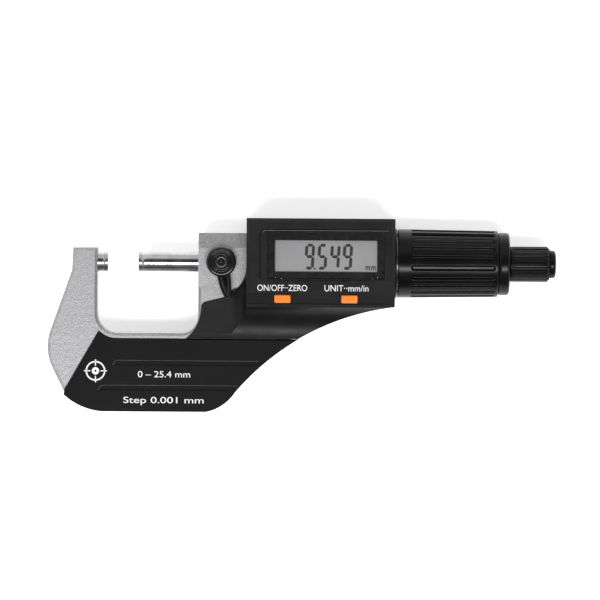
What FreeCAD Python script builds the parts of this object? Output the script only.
"""Digital outside micrometer, 0 to 25.4 mm, built as an assembly of separate pieces.

+X runs along the measuring axis towards the ratchet, +Y away from the bow, +Z out of the display.
The origin is the centre of the anvil's measuring face. All sizes are in millimetres.
"""
import FreeCAD
import Part
import math
import os
import Sketcher

DOC = FreeCAD.newDocument("Micrometer")
SHEET = DOC.addObject("Spreadsheet::Sheet", "Sizes")
PIECES = []


# ---------------------------------------------------------------- driving sizes

DRIVING = {
    # measuring line
    "opening": 9.549,          # distance between the two measuring faces as drawn
    "stroke": 25.4,            # full measuring range
    "pin_dia": 6.35,           # spindle and anvil
    "tip_len": 1.2,            # hard measuring tips
    "anvil_stand": 3.6,        # anvil length outside the arm
    "anvil_seat": 6.0,         # anvil length pressed into the arm
    # frame
    "throat": 28.5,            # anvil face to front boss
    "throat_back": 3.3,        # arm's inner wall behind the anvil face
    "throat_depth": 22.5,      # axis to the floor of the throat
    "throat_r_left": 6.3,
    "throat_r_right": 5.5,
    "arm_thick": 10.0,
    "web_thick": 7.0,          # frame thickness under plates and covers
    "arm_top": 4.3,
    "arm_width": 7.6,
    "edge_bevel": 0.8,         # bevel round the front and back faces of the frame
    "boss_len": 16.5,
    "boss_top": 9.1,
    "boss_bottom": 8.0,
    "boss_thick": 15.0,
    "boss_slope_rise": 4.8,    # width of the slope along the boss's top
    "boss_slope_drop": 1.6,
    "rear_boss_radius": 8.0,
    "rear_boss_len": 7.6,
    "bush_dia": 9.5,
    # bow outline
    "shoulder_y": 2.8,
    "belly_back": 20.0,        # where the arm's back and the heel would meet in a point
    "belly_y": 27.8,
    "belly_radius": 15.0,
    "corner_back": 13.6,
    "corner_y": 41.9,
    "corner_radius": 20.0,
    "sole_y": 47.1,
    "sole_start": 1.6,
    "sole_end": 31.0,
    "toe_radius": 14.0,
    "toe_x": 40.2,
    "toe_y": 40.9,
    "sweep_radius": 79.0,
    "seam_x": 59.9,            # where the seam under the case meets the bow's sweep
    "seam_y": 24.2,
    "apex_x": 2.6,             # upper left corner of the grip plates
    "apex_y": 21.8,
    "rim_radius": 8.0,         # plate edge that follows the throat
    # grip plates
    "plate_thick": 2.1,
    "plate_lap": 0.4,          # plates reach this far past the frame
    "groove_depth": 0.5,
    "groove_width": 1.4,
    "groove_high_y": 31.2,
    "groove_low_y": 39.0,
    # display case
    "case_x": 43.6,
    "case_len": 46.4,
    "case_top": 13.7,
    "case_bottom": 13.9,
    "case_front": 15.0,
    "case_back": 11.5,
    "case_split": -1.0,
    "case_wall": 1.8,
    "case_edge": 1.1,
    "bevel_start": 9.6,        # upper edge of the button bevel
    "bevel_size": 3.5,
    "skirt_x": 24.8,
    "skirt_corner_x": 29.5,
    "skirt_corner_y": 14.2,
    "skirt_left_radius": 13.0,
    "skirt_right_y": 10.6,
    "flare_left": 4.9,         # radius of the hollow left of the case
    "flare_low": 9.9,          # radius of the hollow below the case
    "relief_y": 2.0,           # where the finger relief round the lock meets the case
    "relief_low_y": 9.6,
    "relief_radius": 8.5,
    "step_depth": 0.4,         # step down to the field round the window
    "step_left": 3.8,
    "step_right": 1.3,
    "step_top": 10.3,
    "step_bottom": 5.7,
    # display
    "window_len": 36.8,
    "window_left": 6.4,
    "window_top": 9.3,
    "window_bottom": 5.2,
    "window_thick": 1.2,
    "window_ledge": 1.0,
    "lcd_thick": 1.1,
    "board_thick": 1.0,
    "board_z": 10.3,
    "button_len": 5.1,
    "button_width": 3.0,
    "button_height": 0.6,
    "button_travel": 0.4,
    "button_first": 11.3,      # first button's centre from the case's left end
    "button_pitch": 20.9,
    "bevel_wall": 1.5,
    # sleeve and thimble
    "sleeve_dia": 14.0,
    "sleeve_bore": 11.0,
    "sleeve_end": 112.0,
    "nut_start": 84.0,
    "nut_len": 12.0,
    "screw_dia": 7.0,
    "screw_start": 67.5,
    "screw_end": 106.0,
    "collar_len": 0.75,
    "collar_dia": 21.8,
    "thimble_dia": 21.6,
    "thimble_tail_dia": 20.9,  # the grip tapers a little towards the ratchet
    "thimble_len": 31.5,
    "thimble_plain": 4.0,
    "thimble_gap": 0.25,
    "core_dia": 18.0,
    "core_wall_len": 3.5,
    "core_reach": 3.2,         # the core runs this far under the end ring
    "rib_depth": 0.7,
    "rib_gap": 1.5,
    "rib_count": 22,
    "end_ring_dia": 19.7,
    "end_ring_len": 3.6,
    "drive_side": 3.0,
    "drive_start": 92.0,
    # ratchet
    "stem_dia": 3.6,
    "knob_dia": 11.14,
    "knob_len": 12.6,
    "knob_wall": 1.2,
    "knob_rib_count": 22,
    "end_dia": 8.8,
    "end_len": 1.9,
    "click_teeth": 12,
    "click_depth": 0.5,
    "spring_wire": 0.35,
    "spring_turns": 3.5,
    "spring_len": 3.35,        # length as fitted, from the stem's shoulder
    "shoulder": 1.2,           # the stem's shoulder stands this far out of it
    # rotor
    "rotor_dia": 19.0,
    "rotor_thick": 1.2,
    "rotor_start": 47.6,
    "rotor_len": 9.6,
    "key_width": 1.2,
    "key_depth": 0.8,
    # lock
    "lock_x": 35.7,
    "knob_radius": 4.7,
    "knob_height": 3.6,
    "tail_len": 12.1,
    "tail_width": 3.8,
    "tail_tip": 1.9,
    "tail_angle": 10.7,
    "pad_dia": 2.6,
    "lock_gap": 0.15,
    # power
    "cell_dia": 20.0,
    "cell_thick": 3.2,
    "cell_x": 68.7,
    "cap_dia": 22.8,
    "cap_thick": 1.0,
    # general
    "fit": 0.02,               # radial clearance of a running fit
    "slack": 0.15,             # clearance between loosely fitted pieces
    "thread_slack": 0.05,      # radial clearance of plain-turned threads
}


class Size:
    """A length known as a number and as the expression the document works out."""

    def __init__(self, value, text):
        self.value = value
        self.text = text

    def joined(self, sign, other, value, swap=False):
        right = other.text if isinstance(other, Size) else repr(float(other))
        first, second = (right, self.text) if swap else (self.text, right)
        return Size(value, f"({first} {sign} {second})")

    def __add__(self, other):
        return self.joined("+", other, self.value + number(other))

    def __radd__(self, other):
        return self.joined("+", other, number(other) + self.value, swap=True)

    def __sub__(self, other):
        return self.joined("-", other, self.value - number(other))

    def __rsub__(self, other):
        return self.joined("-", other, number(other) - self.value, swap=True)

    def __mul__(self, other):
        return self.joined("*", other, self.value * number(other))

    def __rmul__(self, other):
        return self.joined("*", other, number(other) * self.value, swap=True)

    def __truediv__(self, other):
        return self.joined("/", other, self.value / number(other))

    def __neg__(self):
        return Size(-self.value, f"(0 - {self.text})")


def number(size):
    """The plain number of a Size or a number."""
    return size.value if isinstance(size, Size) else float(size)


def fill_sheet():
    """Write every driving size to the sheet, with its name as alias."""
    sizes = {}
    for row, (name, value) in enumerate(DRIVING.items(), start=1):
        SHEET.set(f"A{row}", name)
        SHEET.set(f"B{row}", str(value))
        SHEET.setAlias(f"B{row}", name)
        sizes[name] = Size(float(value), f"Sizes.{name}")
    DOC.recompute()
    return sizes


S = fill_sheet()


# ---------------------------------------------------------------- building helpers

def bind(feature, prop, size):
    """Set a property from a size, bound to the sheet when the size comes from it."""
    if isinstance(size, Size):
        feature.setExpression(prop, size.text)
    else:
        setattr(feature, prop, float(size))


def new_body(label):
    """A PartDesign body that becomes one node of the assembly."""
    piece = DOC.addObject("PartDesign::Body", label)
    piece.Label = label
    PIECES.append(piece)
    return piece


def place(piece, x=0, y=0, z=0, axis=None, angle=0):
    """Move a piece to its place, and turn it about an axis through its own origin."""
    if axis is not None:
        piece.Placement.Rotation = FreeCAD.Rotation(FreeCAD.Vector(*axis), number(angle))
        if isinstance(angle, Size):
            piece.setExpression(".Placement.Rotation.Angle", angle.text)
    spot = FreeCAD.Vector(number(x), number(y), number(z))
    piece.Placement.Base = spot
    for letter, size in (("x", x), ("y", y), ("z", z)):
        if isinstance(size, Size):
            piece.setExpression(f".Placement.Base.{letter}", size.text)


def line(x, y):
    """A straight step of an outline to the point x, y."""
    return ("line", x, y, None, 0)


def left_arc(x, y, radius):
    """A round step to x, y that turns left, the short way round."""
    return ("arc", x, y, radius, 1)


def right_arc(x, y, radius):
    """A round step to x, y that turns right, the short way round."""
    return ("arc", x, y, radius, -1)


def ring(x, y, radius):
    """A full circle."""
    return ("ring", x, y, radius, 0)


def rectangle(x0, y0, x1, y1):
    """A rectangle between two corners."""
    return [line(x0, y0), line(x1, y0), line(x1, y1), line(x0, y1)]


def rounded(x0, y0, x1, y1, radius):
    """A rectangle with four round corners, drawn anticlockwise."""
    return [
        line(x0 + radius, y0), line(x1 - radius, y0),
        left_arc(x1, y0 + radius, radius), line(x1, y1 - radius),
        left_arc(x1 - radius, y1, radius), line(x0 + radius, y1),
        left_arc(x0, y1 - radius, radius), line(x0, y0 + radius),
        left_arc(x0 + radius, y0, radius),
    ]


def arc_between(start, end, radius, turn):
    """The short arc between two points, and which of its ends is which in a sketch."""
    across = (end - start).Length / 2
    if across > radius:
        raise ValueError(f"an arc of radius {radius} can't span {2 * across:.2f} mm")
    rise = radius - math.sqrt(radius ** 2 - across ** 2)
    way = (end - start).normalize()
    side = FreeCAD.Vector(way.y, -way.x, 0) * turn
    middle = (start + end) / 2 + side * rise
    if turn > 0:
        return Part.Arc(start, middle, end), 1, 2
    return Part.Arc(end, middle, start), 2, 1


def hold(sketch, kind, shape, spot, size):
    """Add one dimension to a sketch and bind it to the sheet."""
    if spot is None:
        index = sketch.addConstraint(Sketcher.Constraint(kind, shape, number(size)))
    else:
        index = sketch.addConstraint(Sketcher.Constraint(kind, shape, spot, number(size)))
    if isinstance(size, Size):
        name = f"size{index}"
        sketch.renameConstraint(index, name)
        sketch.setExpression(f"Constraints.{name}", size.text)


def draw_ring(sketch, step):
    """Draw one full circle with its centre and radius held."""
    _, x, y, radius, _ = step
    centre = FreeCAD.Vector(number(x), number(y), 0)
    circle = Part.Circle(centre, FreeCAD.Vector(0, 0, 1), number(radius))
    shape = sketch.addGeometry(circle, False)
    hold(sketch, "DistanceX", shape, 3, x)
    hold(sketch, "DistanceY", shape, 3, y)
    hold(sketch, "Radius", shape, None, radius)


def draw_loop(sketch, steps):
    """Draw one closed outline with every corner and every radius held."""
    if steps[0][0] == "line" and number(steps[0][1]) == number(steps[-1][1]) \
            and number(steps[0][2]) == number(steps[-1][2]):
        corners = steps[1:]
    else:
        corners = steps[1:] + steps[:1]
    at = FreeCAD.Vector(number(steps[0][1]), number(steps[0][2]), 0)
    drawn = []
    for kind, x, y, radius, turn in corners:
        end = FreeCAD.Vector(number(x), number(y), 0)
        if kind == "arc":
            curve, first, last = arc_between(at, end, number(radius), turn)
        else:
            curve, first, last = Part.LineSegment(at, end), 1, 2
        shape = sketch.addGeometry(curve, False)
        drawn.append((shape, first, last, x, y, radius))
        at = end
    for now, after in zip(drawn, drawn[1:] + drawn[:1]):
        sketch.addConstraint(Sketcher.Constraint("Coincident", now[0], now[2], after[0], after[1]))
    for shape, _, last, x, y, radius in drawn:
        hold(sketch, "DistanceX", shape, last, x)
        hold(sketch, "DistanceY", shape, last, y)
        if radius is not None:
            hold(sketch, "Radius", shape, None, radius)


def sketch_on(piece, role, height, loops):
    """A sketch on one of the body's own origin planes, moved along its normal."""
    sketch = piece.newObject("Sketcher::SketchObject", f"{piece.Name}_outline")
    plane = [item for item in piece.Origin.OriginFeatures if item.Role == role][0]
    sketch.AttachmentSupport = [(plane, "")]
    sketch.MapMode = "FlatFace"
    if isinstance(height, Size):
        sketch.setExpression("AttachmentOffset.Base.z", height.text)
    else:
        sketch.AttachmentOffset = FreeCAD.Placement(FreeCAD.Vector(0, 0, height), FreeCAD.Rotation())
    for loop in loops:
        if isinstance(loop, tuple):
            draw_ring(sketch, loop)
        else:
            draw_loop(sketch, loop)
    return sketch


def feature_of(piece, kind, sketch, length):
    """A pad or pocket of one sketch."""
    feature = piece.newObject(f"PartDesign::{kind}", f"{piece.Name}_{kind}")
    feature.Profile = sketch
    bind(feature, "Length", length)
    return feature


def finish_cut(piece, before):
    """Work out a cut and make sure that it took something away."""
    DOC.recompute()
    if piece.Shape.Volume >= before - 1e-6:
        raise ValueError(f"a cut in {piece.Label} removes nothing")


def add_up(piece, loops, bottom, top):
    """Raise outlines from one height to another along +Z."""
    feature = feature_of(piece, "Pad", sketch_on(piece, "XY_Plane", bottom, loops), top - bottom)
    DOC.recompute()
    return feature


def add_x(piece, loops, start, end):
    """Extend outlines, drawn in Y and Z, from start to end along +X."""
    feature = feature_of(piece, "Pad", sketch_on(piece, "YZ_Plane", start, loops), end - start)
    DOC.recompute()
    return feature


def cut_down(piece, loops, top, bottom):
    """Cut outlines from the upper height down to the lower one."""
    before = piece.Shape.Volume
    feature = feature_of(piece, "Pocket", sketch_on(piece, "XY_Plane", top, loops), top - bottom)
    finish_cut(piece, before)
    return feature


def cut_x(piece, loops, start, end):
    """Cut outlines, drawn in Y and Z, between two stations along X."""
    before = piece.Shape.Volume
    feature = feature_of(piece, "Pocket", sketch_on(piece, "YZ_Plane", end, loops), end - start)
    finish_cut(piece, before)
    return feature


def cut_y(piece, loops, start, end):
    """Cut outlines, drawn in X and Z, between two stations along Y."""
    before = piece.Shape.Volume
    feature = feature_of(piece, "Pocket", sketch_on(piece, "XZ_Plane", -start, loops), end - start)
    finish_cut(piece, before)
    return feature


def turn_about(piece, kind, role, axis, points):
    """Turn a profile about one axis of its sketch."""
    sketch = sketch_on(piece, role, 0, [[line(a, b) for a, b in points]])
    feature = piece.newObject(f"PartDesign::{kind}", f"{piece.Name}_{kind}")
    feature.Profile = sketch
    feature.ReferenceAxis = (sketch, [axis])
    feature.Angle = 360
    DOC.recompute()
    return feature


def turned_x(label, points):
    """A piece turned about the measuring axis from points (station, radius)."""
    piece = new_body(label)
    turn_about(piece, "Revolution", "XY_Plane", "H_Axis", points)
    return piece


def turned_z(label, points):
    """A piece turned about its own Z axis from points (radius, height)."""
    piece = new_body(label)
    turn_about(piece, "Revolution", "XZ_Plane", "V_Axis", points)
    return piece


def tube_x(label, start, end, outer, inner):
    """A plain tube along the measuring axis."""
    return turned_x(label, [(start, inner), (end, inner), (end, outer), (start, outer)])


def repeat_about(piece, feature, role, count):
    """Repeat a feature all round one of the body's axes."""
    pattern = piece.newObject("PartDesign::PolarPattern", f"{piece.Name}_repeat")
    pattern.Originals = [feature]
    axis = [item for item in piece.Origin.OriginFeatures if item.Role == role][0]
    pattern.Axis = (axis, [""])
    pattern.Angle = 360
    pattern.setExpression("Occurrences", count.text)
    piece.Tip = pattern
    DOC.recompute()


def bevel_edges(piece, size, chosen, kind="Chamfer"):
    """Bevel or round the edges of the finished shape that the test picks."""
    DOC.recompute()
    names = [f"Edge{i}" for i, edge in enumerate(piece.Shape.Edges, start=1) if chosen(edge)]
    if not names:
        raise ValueError(f"no edge to bevel in {piece.Label}")
    shaped = piece.Tip
    feature = piece.newObject(f"PartDesign::{kind}", f"{piece.Name}_{kind}")
    feature.Base = (shaped, names)
    bind(feature, "Size" if kind == "Chamfer" else "Radius", size)
    DOC.recompute()
    if "Invalid" in feature.State or "Error" in feature.State:
        raise ValueError(f"the {kind} of {piece.Label} failed on {names}")
    return feature


def group_of(label, members):
    """Several separate solids that make one node."""
    group = DOC.addObject("Part::Compound", label)
    group.Label = label
    group.Links = members
    for member in members:
        PIECES.remove(member)
    PIECES.append(group)
    return group


# ---------------------------------------------------------------- shared places

PIN = S["pin_dia"] / 2
SPLIT = S["case_split"]
CASE_X0 = S["case_x"]
CASE_X1 = S["case_x"] + S["case_len"]
WEB = S["web_thick"] / 2
ARM = S["arm_thick"] / 2
BOSS = S["boss_thick"] / 2
BOSS_END = S["throat"] + S["boss_len"]
BRIDGE_Y = -(S["rotor_dia"] / 2 + 0.8)
PLATE_TOP = WEB + S["plate_thick"]
REAR_BOSS_X1 = CASE_X1 - S["case_wall"] - 0.6
REAR_BOSS_X0 = REAR_BOSS_X1 - S["rear_boss_len"]
SLEEVE = S["sleeve_dia"] / 2
COLLAR_X1 = CASE_X1 + S["collar_len"]
THIMBLE_X0 = COLLAR_X1 + S["thimble_gap"]
THIMBLE_X1 = THIMBLE_X0 + S["thimble_len"]
CORE_X1 = THIMBLE_X1 + S["core_reach"]
END_RING_X1 = THIMBLE_X1 + S["end_ring_len"]
KNOB_X0 = END_RING_X1 + 0.1
KNOB_X1 = KNOB_X0 + S["knob_len"]
SPINDLE_X0 = S["opening"]
INNER_X0 = CASE_X0 + S["case_wall"]
INNER_X1 = CASE_X1 - S["case_wall"]
INNER_Y0 = -(S["case_bottom"] - S["case_wall"])
INNER_Y1 = S["case_top"] - S["case_wall"]
INNER_TOP = S["case_front"] - 2.0
INNER_LOW = -(S["case_back"] - 1.5)
STATOR_X0 = INNER_X0 + 0.1
SCREW_SPOTS = [
    (S["case_x"] + 15.0, S["case_top"] - 3.2),
    (S["case_x"] + 34.4, S["case_top"] - 3.2),
    (S["lock_x"] - 1.2, -(S["skirt_corner_y"] + 4.0)),
    (S["case_x"] + 24.4, -(S["case_bottom"] + 0.6)),
]
LOW_SCREWS = SCREW_SPOTS[2:]
HIGH_SCREWS = SCREW_SPOTS[:2]
PLATE_SCREW_SPOTS = [
    (S["sole_start"] - 1.6, -(S["groove_high_y"] - 3.4)),
    (S["sole_end"] + 4.0, -(S["groove_high_y"] - 3.4)),
]
SCREW_R = 1.0
SCREW_HEAD_R = 1.9


# ---------------------------------------------------------------- outlines

def bow_outline(inset):
    """The bow from the sole to the seam, moved in from the plates' edge by inset."""
    return [
        line(-(S["corner_back"] - inset), -(S["corner_y"] - inset)),
        left_arc(-S["sole_start"], -(S["sole_y"] - inset), S["corner_radius"]),
        line(S["sole_end"], -(S["sole_y"] - inset)),
        left_arc(S["toe_x"] - inset, -(S["toe_y"] - inset / 2), S["toe_radius"]),
        right_arc(S["seam_x"] - inset, -S["seam_y"], S["sweep_radius"]),
    ]


def case_sweep(inset):
    """The sweep from the seam to the lower right corner of the case, moved in by inset."""
    return [
        line(S["seam_x"] - inset / 2, -(S["seam_y"] - inset)),
        right_arc(CASE_X1 - 0.8 - inset, -(S["case_bottom"] - inset), S["sweep_radius"]),
    ]


def frame_outline():
    """The whole C-shaped frame seen from the display side."""
    back = -(S["throat_back"] + S["arm_width"])
    left = -S["throat_back"]
    floor = -S["throat_depth"]
    return [
        line(back, S["arm_top"]),
        line(back - 0.3, -S["shoulder_y"]),
        line(-S["belly_back"], -S["belly_y"]),
    ] + bow_outline(S["plate_lap"]) + [
        line(S["seam_x"] - S["case_wall"] - 0.4, -S["seam_y"]),
    ] + case_sweep(S["case_wall"] + 0.2) + [
        line(REAR_BOSS_X1, 0),
        line(REAR_BOSS_X0, 0),
        line(REAR_BOSS_X0, BRIDGE_Y),
        line(BOSS_END, BRIDGE_Y),
        line(BOSS_END, S["boss_top"]),
        line(S["throat"], S["boss_top"]),
        line(S["throat"], floor + S["throat_r_right"]),
        right_arc(S["throat"] - S["throat_r_right"], floor, S["throat_r_right"]),
        line(left + S["throat_r_left"], floor),
        right_arc(left, floor + S["throat_r_left"], S["throat_r_left"]),
        line(left, S["arm_top"]),
    ]


def plate_outline():
    """One grip plate."""
    centre_x = S["throat_r_left"] - S["throat_back"]
    return [
        line(centre_x, -S["seam_y"]),
        right_arc(-S["apex_x"], -S["apex_y"], S["rim_radius"]),
        line(-(S["corner_back"] - 0.3), -(S["corner_y"] - 1.6)),
    ] + bow_outline(0) + [line(centre_x, -S["seam_y"])]


def skirt_steps(gap):
    """The skirt's free edge from the seam up to the case, moved out by gap."""
    return [
        line(S["skirt_x"] - gap, -S["seam_y"] + 0.15 - gap),
        left_arc(S["skirt_corner_x"] - gap, -S["skirt_corner_y"], S["skirt_left_radius"]),
        right_arc(S["skirt_corner_x"] + 0.9, -(S["skirt_corner_y"] - 1.5) + gap, 1.6),
    ]


def skirt_outline():
    """Skirt and case together, without the shoulder beside the boss."""
    return skirt_steps(0) + [
        line(CASE_X0 - S["flare_left"], -S["skirt_right_y"]),
        line(CASE_X0 - S["flare_left"], -S["relief_low_y"]),
        left_arc(CASE_X0, -S["relief_y"], S["relief_radius"]),
        line(CASE_X0, S["case_top"]),
        line(CASE_X1, S["case_top"]),
        line(CASE_X1, -S["case_bottom"]),
        line(CASE_X1 - 0.8, -S["case_bottom"]),
        left_arc(S["seam_x"], -S["seam_y"] + 0.15, S["sweep_radius"]),
        line(S["skirt_x"], -S["seam_y"] + 0.15),
    ]


def recess_outline():
    """What the frame loses on each side to seat the plate and the covers."""
    gap = S["slack"]
    centre_x = S["throat_r_left"] - S["throat_back"]
    low = -(S["sole_y"] + 5.0)
    right = CASE_X1 + 5.0
    return [
        line(centre_x, -S["seam_y"] + gap),
        right_arc(-S["apex_x"] - gap, -S["apex_y"] + gap, S["rim_radius"]),
        line(-(S["corner_back"] + 0.9) - gap, -(S["corner_y"] + 0.5)),
        line(-(S["corner_back"] + 0.9) - gap, low),
        line(right, low),
        line(right, 1.0),
        line(BOSS_END, 1.0),
        line(BOSS_END, -S["boss_bottom"]),
        line(CASE_X0 - S["flare_left"] - gap, -S["boss_bottom"]),
        line(CASE_X0 - S["flare_left"] - gap, -S["skirt_right_y"] + gap),
    ] + list(reversed_skirt(gap)) + [line(centre_x, -S["seam_y"] + gap)]


def reversed_skirt(gap):
    """The skirt's free edge from the case down to the seam."""
    yield line(S["skirt_corner_x"] + 0.9, -(S["skirt_corner_y"] - 1.5) + gap)
    yield left_arc(S["skirt_corner_x"] - gap, -S["skirt_corner_y"], 1.6)
    yield right_arc(S["skirt_x"] - gap, -S["seam_y"] + gap, S["skirt_left_radius"])


# ---------------------------------------------------------------- frame and measuring line

def make_frame():
    """Cast C-frame with a front boss, a rear boss and bores for anvil, bush and sleeve."""
    piece = new_body("frame")
    sketch = sketch_on(piece, "XY_Plane", 0, [frame_outline()])
    slab = feature_of(piece, "Pad", sketch, S["arm_thick"])
    slab.SideType = "Symmetric"
    belly = -S["belly_back"].value + 0.01
    bevel_edges(piece, S["belly_radius"], lambda edge: edge.BoundBox.XMax < belly, "Fillet")
    sole = -S["corner_y"].value
    bevel_edges(piece, S["edge_bevel"], lambda edge: on_face(edge, ARM) and edge.BoundBox.YMin > sole
                and edge.BoundBox.XMax < S["throat"].value + 0.01)
    cut_down(piece, [recess_outline()], ARM + 1.0, WEB)
    cut_down(piece, [recess_outline()], -WEB, -(ARM + 1.0))
    boss = [
        line(S["throat"], -S["boss_bottom"]),
        line(CASE_X0 - 3.3, -S["boss_bottom"]),
        left_arc(CASE_X0 - 0.1, -S["relief_y"], S["relief_radius"]),
        line(BOSS_END, -S["relief_y"]),
        line(BOSS_END, S["boss_top"]),
        line(S["throat"], S["boss_top"]),
    ]
    add_up(piece, [boss], -BOSS, BOSS)
    slope = S["boss_slope_drop"]
    rise = S["boss_slope_rise"]
    for side in (1, -1):
        wedge = [
            line(S["boss_top"] + 1.0, side * (BOSS + 1.0)),
            line(S["boss_top"] - rise, side * (BOSS + 1.0)),
            line(S["boss_top"] - rise, side * BOSS),
            line(S["boss_top"] + 1.0, side * (BOSS - slope * 1.2)),
        ]
        cut_x(piece, [wedge], S["throat"] - 1.0, BOSS_END + 1.0)
    add_x(piece, [ring(0, 0, S["rear_boss_radius"])], REAR_BOSS_X0, REAR_BOSS_X1)
    anvil_seat = -S["anvil_stand"] - S["anvil_seat"]
    cut_x(piece, [ring(0, 0, PIN)], anvil_seat, -S["throat_back"] + 1.0)
    cut_x(piece, [ring(0, 0, S["bush_dia"] / 2)], S["throat"] - 1.0, BOSS_END + 1.0)
    cut_x(piece, [ring(0, 0, SLEEVE)], REAR_BOSS_X0 - 1.0, REAR_BOSS_X1 + 1.0)
    cut_down(piece, [ring(S["lock_x"], 0, S["pad_dia"] / 2 + 0.9)], BOSS + 1.0, PIN)
    holes = [ring(x, y, SCREW_R + S["slack"]) for x, y in LOW_SCREWS + PLATE_SCREW_SPOTS]
    cut_down(piece, holes, ARM + 1.0, -(ARM + 1.0))

    return piece


def on_face(edge, height):
    """True for an edge that lies level at one height above or below the middle plane."""
    box = edge.BoundBox
    return abs(abs(box.ZMin) - number(height)) < 0.01 and box.ZMax - box.ZMin < 0.01


def make_measuring_line():
    """Anvil, bush and seal of the fixed side."""
    seat = -S["anvil_stand"] - S["anvil_seat"]
    turned_x("anvil", [(seat, 0), (-S["tip_len"], 0), (-S["tip_len"], PIN), (seat, PIN)])
    turned_x("anvil_tip", [(-S["tip_len"], 0), (0, 0), (0, PIN - 0.15), (-0.15, PIN), (-S["tip_len"], PIN)])
    bush = tube_x("spindle_bush", S["throat"] + 1.1, BOSS_END, S["bush_dia"] / 2, PIN + S["fit"])
    cut_down(bush, [ring(S["lock_x"], 0, S["pad_dia"] / 2 + S["slack"])], S["bush_dia"] / 2 + 1.0, 0)
    tube_x("spindle_seal", S["throat"] + 0.1, S["throat"] + 1.1, S["bush_dia"] / 2, PIN + 0.06)


def make_spindle():
    """Spindle with its screw, keyway and square drive hole."""
    start = SPINDLE_X0 + S["tip_len"]
    screw = S["screw_dia"] / 2
    piece = turned_x("spindle", [
        (start, 0), (S["screw_end"], 0), (S["screw_end"], screw - 0.4), (S["screw_end"] - 0.4, screw),
        (S["screw_start"], screw), (S["screw_start"], PIN), (start, PIN),
    ])
    key_back = S["rotor_start"] + 6.9
    forth = S["stroke"] - S["opening"] + 0.4
    half = S["key_width"] / 2
    keyway = rectangle(key_back - forth, -half, key_back + 2.0 + S["opening"] + 0.4, half)
    cut_down(piece, [keyway], PIN + 1.0, PIN - S["key_depth"])
    side = S["drive_side"] / 2 + S["fit"]
    depth = S["screw_end"] + S["stroke"] - S["opening"] - S["drive_start"] + 0.8
    cut_x(piece, [rectangle(-side, -side, side, side)], S["screw_end"] - depth, S["screw_end"])
    turned_x("spindle_tip", [
        (SPINDLE_X0, 0), (start, 0), (start, PIN), (SPINDLE_X0 + 0.15, PIN), (SPINDLE_X0, PIN - 0.15),
    ])


def make_sleeve():
    """Inner sleeve in the rear boss, with nut, adjusting nut, collar, washer and retaining ring."""
    bore = S["sleeve_bore"] / 2
    end = S["sleeve_end"]
    ring_x = end - 2.2
    turned_x("inner_sleeve", [
        (REAR_BOSS_X0, bore), (end, bore), (end, SLEEVE), (ring_x + 1.1, SLEEVE),
        (ring_x + 1.1, SLEEVE - 0.5), (ring_x, SLEEVE - 0.5), (ring_x, SLEEVE), (REAR_BOSS_X0, SLEEVE),
    ])
    thread = S["screw_dia"] / 2 + S["thread_slack"]
    nut_end = S["nut_start"] + S["nut_len"]
    turned_x("spindle_nut", [
        (S["nut_start"], thread), (nut_end + 5.0, thread), (nut_end + 5.0, thread + 0.9),
        (nut_end, thread + 0.9), (nut_end, bore), (S["nut_start"], bore),
    ])
    tube_x("adjusting_nut", nut_end + 0.8, nut_end + 4.4, bore - S["slack"], thread + 0.9)
    turned_x("front_collar", [
        (CASE_X1, SLEEVE), (COLLAR_X1, SLEEVE), (COLLAR_X1, S["collar_dia"] / 2 - 0.15),
        (COLLAR_X1 - 0.15, S["collar_dia"] / 2), (CASE_X1, S["collar_dia"] / 2),
    ])
    tube_x("thrust_washer", COLLAR_X1, COLLAR_X1 + 0.2, SLEEVE + 1.4, SLEEVE)
    tube_x("retaining_ring", ring_x, ring_x + 1.1, SLEEVE + 1.1, SLEEVE - 0.5)
    return ring_x


# ---------------------------------------------------------------- thimble and ratchet

def make_thimble(ring_x):
    """Thimble core, ribbed grip, end ring and the square bar that drives the spindle."""
    core = S["core_dia"] / 2
    bore = SLEEVE + 2 * S["fit"]
    wide = SLEEVE + 1.3
    wall = CORE_X1 - S["core_wall_len"]
    shank = S["drive_side"] * 0.75 + 0.75
    turned_x("thimble_core", [
        (THIMBLE_X0 + 0.1, bore), (ring_x - S["slack"], bore), (ring_x - S["slack"], wide),
        (wall, wide), (wall, shank), (CORE_X1, shank), (CORE_X1, core), (THIMBLE_X0 + 0.1, core),
    ])
    make_grip(core)
    rim = S["end_ring_dia"] / 2
    bore = S["end_dia"] / 2 + 0.1
    end_ring = turned_x("thimble_end_ring", [
        (THIMBLE_X1, core), (CORE_X1, core), (CORE_X1, bore), (END_RING_X1, bore), (END_RING_X1, rim),
        (THIMBLE_X1, rim),
    ])
    bevel_edges(end_ring, 0.7, lambda e: outer_circle(e, END_RING_X1, S["end_ring_dia"] / 2), "Fillet")
    bar = new_body("drive_bar")
    side = S["drive_side"] / 2
    add_x(bar, [rectangle(-side, -side, side, side)], S["drive_start"], CORE_X1 - 0.5)
    make_ratchet(shank)


def outer_circle(edge, station, radius):
    """True for the round edge at one station and radius of the measuring axis."""
    box = edge.BoundBox
    return abs(box.XMin - number(station)) < 0.01 and abs(box.XMax - number(station)) < 0.01 \
        and abs(box.YMax - number(radius)) < 0.01


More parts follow.
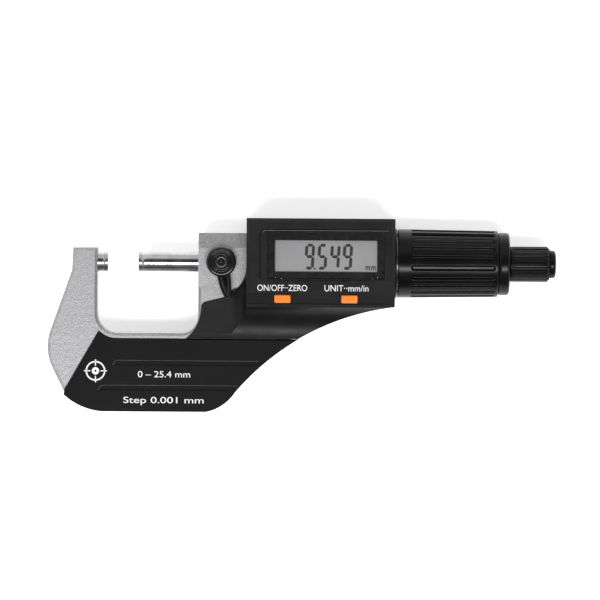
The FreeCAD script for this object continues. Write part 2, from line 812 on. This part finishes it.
def make_grip(core):
    """Plastic grip: plain collar, then grooves with round ends all round."""
    front = S["thimble_dia"] / 2
    tail = S["thimble_tail_dia"] / 2
    plain = THIMBLE_X0 + S["thimble_plain"]
    piece = turned_x("thimble_grip", [
        (THIMBLE_X0, core), (THIMBLE_X1, core), (THIMBLE_X1, tail - 0.3), (THIMBLE_X1 - 0.3, tail),
        (plain, front), (THIMBLE_X0 + 0.3, front), (THIMBLE_X0, front - 0.3),
    ])
    half = S["rib_gap"] / 2
    slot = [
        line(plain + half, -half), line(THIMBLE_X1 + 1.0, -half), line(THIMBLE_X1 + 1.0, half),
        line(plain + half, half), left_arc(plain, 0, half), left_arc(plain + half, -half, half),
    ]
    groove = cut_down(piece, [slot], front + 1.0, tail - S["rib_depth"])
    repeat_about(piece, groove, "X_Axis", S["rib_count"])


def make_ratchet(shank):
    """Ratchet stem, ribbed knob, sprung click crown and end screw."""
    stem = S["stem_dia"] / 2
    knob = S["knob_dia"] / 2
    flange = S["end_dia"] / 2
    knob_bore = knob - S["knob_wall"]
    tooth_x = KNOB_X1 - 3.3
    crown_x1 = tooth_x - 0.05
    spring_x1 = crown_x1 - 1.4 - S["click_depth"] - 0.35
    seat_x = spring_x1 - S["spring_len"] - 0.05
    step = stem + S["shoulder"]
    piece = turned_x("ratchet_stem", [
        (CORE_X1 - S["core_wall_len"], 0), (KNOB_X1, 0), (KNOB_X1, stem), (seat_x, stem), (seat_x, step),
        (END_RING_X1, step), (END_RING_X1, flange), (CORE_X1, flange), (CORE_X1, shank),
        (CORE_X1 - S["core_wall_len"], shank),
    ])
    side = S["drive_side"] / 2
    cut_x(piece, [rectangle(-side, -side, side, side)], CORE_X1 - S["core_wall_len"], CORE_X1 - 0.5)
    cut_x(piece, [ring(0, 0, 1.2)], KNOB_X1 - 5.0, KNOB_X1)

    knob_piece = turned_x("ratchet_knob", [
        (KNOB_X0, knob_bore), (tooth_x, knob_bore), (tooth_x, stem + 0.1), (KNOB_X1, stem + 0.1),
        (KNOB_X1, knob - 0.7), (KNOB_X1 - 0.7, knob), (KNOB_X0 + 0.4, knob), (KNOB_X0, knob - 0.4),
    ])
    notch = click_tooth(knob_piece, "cut", tooth_x, S["slack"] / 3, stem, knob_bore)
    repeat_about(knob_piece, notch, "X_Axis", S["click_teeth"])
    half = 0.4
    slot = rectangle(KNOB_X0 + 0.9, -half, KNOB_X1 + 0.5, half)
    groove = cut_down(knob_piece, [slot], knob + 1.0, knob - 0.45)
    repeat_about(knob_piece, groove, "X_Axis", S["knob_rib_count"])

    crown = tube_x("click_crown", crown_x1 - 1.4, crown_x1, knob_bore - 0.15, stem + 0.1)
    tooth = click_tooth(crown, "add", crown_x1, 0, stem + 0.1, knob_bore - 0.15)
    repeat_about(crown, tooth, "X_Axis", S["click_teeth"])
    make_spring(spring_x1 - S["spring_len"], spring_x1, stem + 0.75)
    turned_x("ratchet_end_screw", [
        (KNOB_X1 - 4.5, 0), (KNOB_X1 + 0.1 + S["end_len"], 0), (KNOB_X1 + 0.1 + S["end_len"], flange - 1.5),
        (KNOB_X1 + S["end_len"] - 0.4, flange - 0.4), (KNOB_X1 + S["end_len"] - 1.0, flange),
        (KNOB_X1 + 0.1, flange), (KNOB_X1 + 0.1, 1.2), (KNOB_X1 - 4.5, 1.2),
    ])


def click_tooth(piece, kind, face_x, gap, inner, outer):
    """One pointed tooth, or the notch for it, on the face of the click crown's partner."""
    half = 0.55 + gap
    depth = S["click_depth"] + gap
    if kind == "add":
        profile = [line(face_x - 0.2, -half), line(face_x, -half), line(face_x + depth, 0),
                   line(face_x, half), line(face_x - 0.2, half)]
        return add_up(piece, [profile], inner + 0.1, outer - 0.15)
    profile = [line(face_x - 0.5, -half), line(face_x, -half), line(face_x + depth, 0),
               line(face_x, half), line(face_x - 0.5, half)]
    return cut_down(piece, [profile], outer - 0.01, inner + 0.05)


def make_spring(start, end, radius):
    """Coil spring behind the click crown."""
    wire = S["spring_wire"] / 2
    coil = DOC.addObject("Part::Helix", "spring_path")
    bind(coil, "Pitch", (end - start - S["spring_wire"]) / S["spring_turns"])
    bind(coil, "Height", end - start - S["spring_wire"])
    bind(coil, "Radius", radius)
    section = DOC.addObject("Part::Circle", "spring_section")
    bind(section, "Radius", wire)
    section.Placement = FreeCAD.Placement(FreeCAD.Vector(number(radius), 0, 0),
                                          FreeCAD.Rotation(FreeCAD.Vector(1, 0, 0), 90))
    section.setExpression(".Placement.Base.x", radius.text)
    sweep = DOC.addObject("Part::Sweep", "ratchet_spring")
    sweep.Label = "ratchet_spring"
    sweep.Sections = [section]
    sweep.Spine = (coil, [])
    sweep.Solid = True
    sweep.Frenet = True
    PIECES.append(sweep)
    place(sweep, start + wire, 0, 0, axis=(0, 1, 0), angle=90)


# ---------------------------------------------------------------- position sensor

def make_sensor():
    """Fixed stator, turning rotor with its key, and the plate that keeps the rotor in place."""
    start = S["rotor_start"]
    end = start + S["rotor_len"]
    bush = PIN + 1.9
    tube_x("stator_disc", STATOR_X0, STATOR_X0 + 1.2, S["rotor_dia"] / 2 + 0.4, PIN + 1.2)
    piece = turned_x("rotor_bush", [
        (start, PIN + S["fit"]), (end, PIN + S["fit"]), (end, bush), (start + 2.2, bush),
        (start + 2.2, bush + 1.2), (start + 0.9 + S["rotor_thick"], bush + 1.2),
        (start + 0.9 + S["rotor_thick"], bush), (start, bush),
    ])
    half = S["key_width"] / 2 - S["fit"]
    key_x = start + 6.9
    cut_down(piece, [rectangle(key_x, -half, key_x + 2.0, half)], bush + 1.0, 0)
    tube_x("rotor_disc", start + 0.9, start + 0.9 + S["rotor_thick"], S["rotor_dia"] / 2, bush)
    key = new_body("rotor_key")
    add_up(key, [rectangle(key_x, -half, key_x + 2.0, half)], PIN - S["key_depth"] + 0.1, bush)
    plate = new_body("rotor_retainer")
    wide = S["rotor_dia"] / 2 - 2.5
    hub = S["screw_dia"] / 2 + 0.4
    diamond = [
        line(BRIDGE_Y, -WEB), line(0, -wide), line(wide, -WEB), line(wide, WEB), line(0, wide), line(BRIDGE_Y, WEB),
    ]
    add_x(plate, [diamond, ring(0, 0, hub)], end + S["slack"], end + S["slack"] + 0.6)
    ribbon = new_body("stator_ribbon")
    top = S["board_z"]
    behind = STATOR_X0 + 1.2
    add_up(ribbon, [rectangle(behind, -3.0, behind + 0.2, 3.0)], S["rotor_dia"] / 2 - 0.6, top)


# ---------------------------------------------------------------- plates and case

def make_plate(label, side):
    """Grip plate on one side of the bow, with two shallow grooves on its outer face."""
    piece = new_body(label)
    low, high = (WEB, PLATE_TOP) if side > 0 else (-PLATE_TOP, -WEB)
    add_up(piece, [plate_outline()], low, high)
    for y, start in ((S["groove_high_y"], 2.4), (S["groove_low_y"], -2.3)):
        slot = [
            line(start, -y - S["groove_width"]), line(CASE_X1, -y - S["groove_width"]),
            line(CASE_X1, -y), line(start + 1.6, -y),
        ]
        if side > 0:
            cut_down(piece, [slot], high, high - S["groove_depth"])
        else:
            cut_down(piece, [slot], low + S["groove_depth"], low)
    if side > 0:
        holes = [ring(x, y, SCREW_R) for x, y in PLATE_SCREW_SPOTS]
        cut_down(piece, holes, high - 0.6, low)
    else:
        holes = [ring(x, y, SCREW_R + S["slack"]) for x, y in PLATE_SCREW_SPOTS]
        cut_down(piece, holes, high, low)
        heads = [ring(x, y, SCREW_HEAD_R + S["slack"]) for x, y in PLATE_SCREW_SPOTS]
        cut_down(piece, heads, low + 1.1, low)
    edge_z = number(high if side > 0 else low)

    def rim(edge):
        box = edge.BoundBox
        flat = abs(box.ZMin - edge_z) < 0.01 and abs(box.ZMax - edge_z) < 0.01
        return flat and rim_edge(edge)

    bevel_edges(piece, 0.35, rim)
    return piece


def rim_edge(edge):
    """True for the long edges of a plate that the grooves don't cross."""
    box = edge.BoundBox
    top = box.YMin > -S["seam_y"].value - 0.1 and box.XMax > 4.0
    sole = box.YMax < -S["corner_y"].value + 0.5 and box.XMax < S["toe_x"].value + 0.5
    return top or sole


def frame_clearance(inset):
    """The part of the frame that lies inside the covers, a little larger all round."""
    gap = S["slack"]
    return [
        line(S["skirt_x"] - 4.0, -S["seam_y"] - 1.0),
        line(S["seam_x"] - inset, -S["seam_y"] - 1.0),
    ] + case_sweep(inset) + [
        line(REAR_BOSS_X1 + gap, 0),
        line(REAR_BOSS_X0 - gap, 0),
        line(REAR_BOSS_X0 - gap, BRIDGE_Y + gap),
        line(INNER_X0, BRIDGE_Y + gap),
        line(INNER_X0, -S["boss_bottom"]),
        line(S["skirt_x"] - 4.0, -S["boss_bottom"]),
    ]


def make_housing():
    """Front half of the case: display block, button bevel, flares and skirt."""
    piece = new_body("display_housing")
    front = S["case_front"]
    add_up(piece, [skirt_outline()], SPLIT, front)
    flare_x = CASE_X0 - S["flare_left"]
    left_hollow = [
        line(S["skirt_x"] - 2.0, PLATE_TOP), line(flare_x, PLATE_TOP),
        left_arc(CASE_X0, PLATE_TOP + S["flare_left"], S["flare_left"]),
        line(CASE_X0, front + 1.0), line(S["skirt_x"] - 2.0, front + 1.0),
    ]
    cut_y(piece, [left_hollow], -(S["seam_y"] + 2.0), S["case_top"] + 1.0)
    low = -S["bevel_start"]
    bevel = S["bevel_size"]
    start_y = low - bevel - 0.9 - S["flare_low"] * 0.97
    low_hollow = [
        line(-(S["seam_y"] + 2.0), PLATE_TOP), line(start_y, PLATE_TOP),
        left_arc(low - bevel - 0.9, front - bevel, S["flare_low"]),
        line(low - bevel, front - bevel), line(low, front), line(low, front + 1.0),
        line(-(S["seam_y"] + 2.0), front + 1.0),
    ]
    cut_x(piece, [low_hollow], S["skirt_x"] - 2.0, CASE_X1 + 1.0)
    below = -S["bevel_start"].value + 0.01
    bevel_edges(piece, S["case_edge"], lambda edge: on_face(edge, front) and edge.BoundBox.YMax > below)
    inset = S["case_wall"]
    cut_down(piece, [frame_clearance(inset)], WEB, SPLIT)
    cut_down(piece, [rectangle(S["skirt_x"] - 2.0, -S["boss_bottom"], INNER_X0 + 0.1,
                               S["boss_top"] + S["slack"])], ARM + 0.05, SPLIT)
    cut_down(piece, [rectangle(CASE_X0 - 2.0, -S["relief_y"], INNER_X0 + 1.0,
                               S["boss_top"] + S["slack"])], BOSS + S["slack"], SPLIT)
    wall = S["bevel_wall"] * 1.4142
    slope_y = low + wall - (front - INNER_TOP)
    room = [
        line(INNER_Y0, SPLIT), line(INNER_Y1, SPLIT), line(INNER_Y1, INNER_TOP),
        line(slope_y, INNER_TOP), line(INNER_Y0, INNER_TOP - (slope_y - INNER_Y0)),
    ]
    cut_x(piece, [room], INNER_X0, INNER_X1)
    posts = [ring(x, y, SCREW_R + 1.1) for x, y in HIGH_SCREWS]
    add_up(piece, posts, SPLIT, S["board_z"] - 0.3)
    cut_x(piece, [ring(0, 0, SLEEVE + S["slack"])], INNER_X1 - 1.0, CASE_X1 + 1.0)
    for spots, depth in ((HIGH_SCREWS, 6.0), (LOW_SCREWS, 5.0)):
        cut_down(piece, [ring(x, y, SCREW_R) for x, y in spots], depth, SPLIT)
    step = rounded(CASE_X0 + S["step_left"], -S["step_bottom"], CASE_X1 - S["step_right"], S["step_top"], 2.0)
    cut_down(piece, [step], front, front - S["step_depth"])
    glass_x0 = CASE_X0 + S["window_left"]
    glass_x1 = glass_x0 + S["window_len"]
    pane_low = front - S["step_depth"] - S["window_thick"]
    pane = rectangle(glass_x0, -S["window_bottom"], glass_x1, S["window_top"])
    cut_down(piece, [pane], front, pane_low)
    ledge = S["window_ledge"]
    view = rectangle(glass_x0 + ledge, -S["window_bottom"] + ledge, glass_x1 - ledge, S["window_top"] - ledge)
    cut_down(piece, [view], pane_low, INNER_TOP - 0.5)
    cut_button_holes(piece)

    return piece


def button_centres():
    """Where the two buttons' centres lie on the bevel."""
    y = -(S["bevel_start"] + S["bevel_size"] / 2)
    z = S["case_front"] - S["bevel_size"] / 2
    first = CASE_X0 + S["button_first"]
    return [(first, y, z), (first + S["button_pitch"], y, z)]


def cut_button_holes(housing):
    """Slanted holes for the buttons, cut square to the bevel."""
    gap = S["slack"]
    for x, y, z in button_centres():
        sketch = sketch_on(housing, "XY_Plane", 0, [])
        for prop, size in (("x", x), ("y", y), ("z", z)):
            sketch.setExpression(f"AttachmentOffset.Base.{prop}", size.text)
        sketch.AttachmentOffset = FreeCAD.Placement(
            FreeCAD.Vector(x.value, y.value, z.value), FreeCAD.Rotation(FreeCAD.Vector(1, 0, 0), 45))
        half_x = S["button_len"] / 2 + gap
        half_y = S["button_width"] / 2 + gap
        draw_loop(sketch, rounded(-half_x, -half_y, half_x, half_y, 0.6))
        before = housing.Shape.Volume
        feature = feature_of(housing, "Pocket", sketch, S["bevel_wall"] + 1.0)
        finish_cut(housing, before)
        feature.Label = f"{housing.Label}_button_hole"


def make_buttons():
    """Two rectangular push buttons that stand a little proud of the bevel."""
    for label, centre in zip(("button_power", "button_units"), button_centres()):
        piece = new_body(label)
        half_x = S["button_len"] / 2
        half_y = S["button_width"] / 2
        shaft = rounded(-half_x, -half_y, half_x, half_y, 0.45)
        add_up(piece, [shaft], -(S["bevel_wall"] + 0.3), S["button_height"])
        flange = rounded(-half_x - 0.6, -half_y - 0.35, half_x + 0.6, half_y - 0.45, 0.6)
        add_up(piece, [flange], -(S["bevel_wall"] + 1.0), -(S["bevel_wall"] + 0.1))
        bevel_edges(piece, 0.25, lambda e: abs(e.BoundBox.ZMin - S["button_height"].value) < 0.01
                    and e.BoundBox.ZMax - e.BoundBox.ZMin < 0.01, "Fillet")
        place(piece, *centre, axis=(1, 0, 0), angle=45)


def make_switches():
    """Slanted switch board with one snap dome under each button."""
    centres = button_centres()
    x0, y, z = centres[0]
    x1 = centres[1][0]
    depth = S["bevel_wall"] + 1.0 + S["button_travel"] + 0.75
    board = new_body("switch_board")
    add_up(board, [rectangle(-5.0, -1.9, x1 - x0 + 5.0, 1.9)], -(depth + 0.8), -depth)
    place(board, x0, y, z, axis=(1, 0, 0), angle=45)
    domes = []
    for index, (x, _, _) in enumerate(centres):
        dome = turned_z(f"dome_{index}", [(0, -depth), (1.6, -depth), (1.1, -(depth - 0.45)), (0, -(depth - 0.6))])
        place(dome, x, y, z, axis=(1, 0, 0), angle=45)
        domes.append(dome)
    group_of("button_domes", domes)


def make_rear_cover():
    """Back half of the case, with the flat face that the micrometer rests on and the cell's well."""
    piece = new_body("rear_cover")
    low = -S["case_back"]
    outline = skirt_steps(0) + [
        line(CASE_X0 - S["flare_left"], -S["skirt_right_y"]),
        line(CASE_X0, -S["skirt_right_y"] + 1.4),
        line(CASE_X0, S["case_top"]),
        line(CASE_X1, S["case_top"]),
        line(CASE_X1, -S["case_bottom"]),
        line(CASE_X1 - 0.8, -S["case_bottom"]),
        left_arc(S["seam_x"], -S["seam_y"] + 0.15, S["sweep_radius"]),
        line(S["skirt_x"], -S["seam_y"] + 0.15),
    ]
    add_up(piece, [outline], low, SPLIT)
    cut_down(piece, [frame_clearance(S["case_wall"])], SPLIT, -WEB)
    cut_down(piece, [rectangle(S["skirt_x"] - 2.0, -S["boss_bottom"], INNER_X0 + 0.1,
                               S["boss_top"] + S["slack"])], SPLIT, -(BOSS + S["slack"]))
    room = rectangle(INNER_X0, INNER_Y0, INNER_X1, INNER_Y1)
    cut_down(piece, [room], SPLIT, INNER_LOW)
    pad_room = [
        line(S["skirt_corner_x"] + 9.0, -(S["seam_y"] - 2.0)),
        line(S["case_x"] + 10.0, -(S["seam_y"] - 2.0)),
        line(S["case_x"] + 10.0, INNER_Y0 - 1.5),
        line(S["skirt_corner_x"] + 9.0, INNER_Y0 - 1.5),
    ]
    cut_down(piece, [pad_room], -WEB, INNER_LOW)
    cell = S["cell_dia"] / 2
    well = [ring(S["cell_x"], 0, cell + 1.2), ring(S["cell_x"], 0, cell + 0.3)]
    add_up(piece, well, low, INNER_LOW + 2.8)
    add_up(piece, [ring(x, y, SCREW_R + 1.1) for x, y in HIGH_SCREWS], low, SPLIT)
    cut_x(piece, [ring(0, 0, SLEEVE + S["slack"])], INNER_X1 - 1.0, CASE_X1 + 1.0)
    cut_down(piece, [ring(S["cell_x"], 0, cell + 0.3)], INNER_LOW + 0.5, low)
    cut_down(piece, [ring(S["cell_x"], 0, S["cap_dia"] / 2 + S["slack"])], low + 1.2, low)
    cut_down(piece, [ring(x, y, SCREW_R + S["slack"]) for x, y in SCREW_SPOTS], SPLIT, low)
    cut_down(piece, [ring(x, y, SCREW_HEAD_R + S["slack"]) for x, y in SCREW_SPOTS], low + 1.7, low)

    def foot_rim(edge):
        box = edge.BoundBox
        flat = abs(box.ZMin - low.value) < 0.01 and box.ZMax - box.ZMin < 0.01
        return flat and not isinstance(edge.Curve, Part.Circle) and abs(box.YMax - box.YMin) > 0.01 \
            or flat and box.YMin > S["case_top"].value - 0.01

    bevel_edges(piece, 0.8, foot_rim)
    return piece


def make_display():
    """Window pane, LCD glass, its holder, contact strips and the circuit board."""
    front = S["case_front"]
    gap = 0.05
    glass_x0 = CASE_X0 + S["window_left"]
    glass_x1 = glass_x0 + S["window_len"]
    pane_low = front - S["step_depth"] - S["window_thick"]
    pane = new_body("display_window")
    add_up(pane, [rectangle(glass_x0 + gap, -S["window_bottom"] + gap, glass_x1 - gap, S["window_top"] - gap)],
           pane_low, front - S["step_depth"] - 0.05)
    lcd_top = INNER_TOP - 0.05
    lcd_low = lcd_top - S["lcd_thick"]
    lcd = new_body("lcd_panel")
    add_up(lcd, [rectangle(glass_x0 + 0.7, -S["window_bottom"] + 0.4, glass_x1 - 0.7, S["window_top"] - 0.4)],
           lcd_low, lcd_top)
    holder = new_body("lcd_holder")
    board_top = S["board_z"] + S["board_thick"]
    x0 = glass_x0 - 0.6
    x1 = glass_x1 + 0.2
    y0 = -S["window_bottom"] - 0.1
    y1 = S["window_top"] + 0.9
    frame_in = rectangle(glass_x0 + 0.65, -S["window_bottom"] + 0.35, glass_x1 - 0.65, S["window_top"] - 0.35)
    add_up(holder, [rectangle(x0, y0, x1, y1), frame_in], board_top, lcd_top)
    strip_y = S["window_top"] - 1.2
    strips = []
    for index, y in enumerate((strip_y, -S["window_bottom"] + 1.2)):
        strip = new_body(f"strip_{index}")
        add_up(strip, [rectangle(glass_x0 + 2.0, y - 0.5, glass_x1 - 2.0, y + 0.5)], board_top, lcd_low)
        strips.append(strip)
    group_of("contact_strips", strips)
    board = new_body("circuit_board")
    add_up(board, [rectangle(INNER_X0 + 1.2, -6.6, INNER_X1 - 0.6, S["case_top"] - 5.6)],
           S["board_z"], board_top)
    bevel_edges(board, 0.8, lambda e: e.BoundBox.ZMax - e.BoundBox.ZMin > 0.5, "Fillet")


def make_board_parts():
    """Chip and small parts on the inner face of the circuit board."""
    top = S["board_z"]
    chip_x = CASE_X0 + 20.0
    chip = new_body("controller_chip")
    add_up(chip, [rectangle(chip_x - 4.0, -4.0, chip_x + 4.0, 4.0)], top - 1.2, top)
    bevel_edges(chip, 0.3, lambda e: abs(e.BoundBox.ZMax - (top.value - 1.2)) < 0.01)
    parts = []
    for index, (dx, y, length, width) in enumerate((
            (9.0, 3.0, 3.2, 1.6), (9.0, -3.0, 3.2, 1.6), (28.0, 3.4, 2.0, 1.2), (28.0, -3.4, 2.0, 1.2))):
        part = new_body(f"board_part_{index}")
        x = chip_x - 18.0 + dx
        add_up(part, [rectangle(x, y - width / 2, x + length, y + width / 2)], top - 0.8, top)
        parts.append(part)
    group_of("board_parts", parts)


def make_power():
    """Coin cell, its two contacts, its seal and the turn-to-open cap."""
    low = -S["case_back"]
    cell = S["cell_dia"] / 2
    cap_top = low + 0.2 + S["cap_thick"]
    cell_low = low + 1.45
    x = S["cell_x"]
    battery = turned_z("battery", [
        (0, cell_low), (cell - 0.4, cell_low), (cell, cell_low + 0.4), (cell, cell_low + S["cell_thick"]),
        (0, cell_low + S["cell_thick"]),
    ])
    place(battery, x, 0, 0)
    seal = turned_z("battery_seal", [
        (cell - 1.0, cap_top), (cell, cap_top), (cell, cell_low), (cell - 1.0, cell_low),
    ])
    place(seal, x, 0, 0)
    top = cell_low + S["cell_thick"]
    minus = new_body("battery_contact_minus")
    add_up(minus, [rectangle(-1.5, -8.0, 1.5, cell + 1.0)], top, top + 0.25)
    place(minus, x, 0, 0)
    plus = new_body("battery_contact_plus")
    add_up(plus, [rectangle(-1.5, -cell - 0.17, 1.5, -cell - 0.02)], cell_low + 0.5, top + 1.5)
    place(plus, x, 0, 0)
    radius = S["cap_dia"] / 2
    cap = turned_z("battery_cap", [
        (0, low + 0.2), (radius - 0.3, low + 0.2), (radius, low + 0.5), (radius, cap_top), (0, cap_top),
    ])
    slot = rounded(-5.5, -0.8, 5.5, 0.8, 0.6)
    cut_down(cap, [slot], low + 0.7, low + 0.1)
    place(cap, x, 0, 0)


def screw(label, head_low, head_high, tip):
    """A small screw that points up, turned about its own axis."""
    piece = turned_z(label, [
        (0, head_low), (SCREW_HEAD_R, head_low), (SCREW_HEAD_R, head_high), (SCREW_R, head_high),
        (SCREW_R, tip - 0.4), (SCREW_R - 0.4, tip), (0, tip),
    ])
    slot = [
        line(-1.2, -0.25), line(1.2, -0.25), line(1.2, 0.25), line(-1.2, 0.25),
    ]
    cut_down(piece, [slot], head_low + 0.5, head_low - 0.1)
    return piece


def make_screws():
    """Screws that hold the covers and the grip plates, all put in from the back."""
    low = -S["case_back"]
    screws = []
    for index, (x, y) in enumerate(SCREW_SPOTS):
        tip = 5.8 if index < 2 else 4.8
        piece = screw(f"cover_screw_{index}", low + 0.4, low + 1.7, tip)
        place(piece, x, y, 0)
        screws.append(piece)
    group_of("cover_screws", screws)
    screws = []
    for index, (x, y) in enumerate(PLATE_SCREW_SPOTS):
        piece = screw(f"plate_screw_{index}", -PLATE_TOP + 0.2, -PLATE_TOP + 1.1, WEB + 1.4)
        place(piece, x, y, 0)
        screws.append(piece)
    group_of("plate_screws", screws)


# ---------------------------------------------------------------- spindle lock

def make_lock():
    """Lock lever with its socket screw, and the pad that the screw presses on the spindle."""
    base = BOSS + 0.3
    top = base + S["knob_height"]
    outer = S["knob_radius"]
    stem = S["pad_dia"] / 2 + 0.75
    lever = turned_z("lock_lever", [
        (stem, base), (outer - 0.3, base), (outer, base + 0.3), (outer, top - 0.9), (outer - 0.7, top - 0.25),
        (outer - 1.3, top - 0.25), (outer - 1.6, top - 0.7), (outer - 2.1, top - 0.7), (outer - 2.35, top - 0.1),
        (stem, top - 0.1),
    ])
    half = S["tail_width"] / 2
    tip = S["tail_tip"] / 2
    length = S["tail_len"]
    tail = [
        line(-half, -2.6), line(-half + 0.1, -(length - 4.5)), line(-tip, -(length - tip)),
        left_arc(tip, -(length - tip), tip + 0.01), line(half - 0.1, -(length - 4.5)), line(half, -2.6),
    ]
    add_up(lever, [tail], base + 0.6, top - 0.55)
    hollow = [
        line(-half + 0.75, -(outer + 0.6)), line(-tip * 0.45, -(length - 2.2)),
        line(tip * 0.45, -(length - 2.2)), line(half - 0.75, -(outer + 0.6)),
    ]
    cut_down(lever, [hollow], top, top - 1.2)
    place(lever, S["lock_x"], 0, 0, axis=(0, 0, 1), angle=S["tail_angle"])

    pad_low = PIN + S["lock_gap"]
    pad_high = PIN + 2.0
    bolt = turned_z("lock_screw", [
        (0, pad_high), (stem, pad_high), (stem, top - 0.5), (stem - 0.3, top - 0.2), (0, top - 0.2),
    ])
    socket = [line(1.0 * math.cos(math.radians(60 * k)), 1.0 * math.sin(math.radians(60 * k))) for k in range(6)]
    cut_down(bolt, [socket], top, top - 1.5)
    place(bolt, S["lock_x"], 0, 0)
    pad = turned_z("lock_pad", [
        (0, pad_low), (S["pad_dia"] / 2, pad_low), (S["pad_dia"] / 2, pad_high), (0, pad_high),
    ])
    place(pad, S["lock_x"], 0, 0)


# ---------------------------------------------------------------- build and write

def build():
    """Make every piece."""
    make_frame()
    make_measuring_line()
    make_spindle()
    make_thimble(make_sleeve())
    make_sensor()
    make_plate("front_grip_plate", 1)
    make_plate("rear_grip_plate", -1)
    make_housing()
    make_rear_cover()
    make_buttons()
    make_switches()
    make_display()
    make_board_parts()
    make_power()
    make_screws()
    make_lock()


def check():
    """Refuse to write anything while an object has failed or a piece isn't sound."""
    DOC.recompute()
    failed = [item.Label for item in DOC.Objects if "Invalid" in item.State or "Error" in item.State]
    if failed:
        raise ValueError(f"failed objects: {failed}")
    for piece in PIECES:
        if piece.Shape.isNull() or not piece.Shape.isValid():
            raise ValueError(f"{piece.Label} has no sound shape")
        if piece.TypeId == "PartDesign::Body" and len(piece.Shape.Solids) != 1:
            raise ValueError(f"{piece.Label} is {len(piece.Shape.Solids)} solids")


def write():
    """Write one STEP file for each piece."""
    os.makedirs("parts", exist_ok=True)
    for piece in PIECES:
        piece.Shape.exportStep(os.path.join("parts", f"{piece.Label}.step"))
        print(f"{piece.Label:24s} {piece.Shape.Volume:10.2f} mm3")


build()
check()
write()
print(f"{len(PIECES)} pieces")
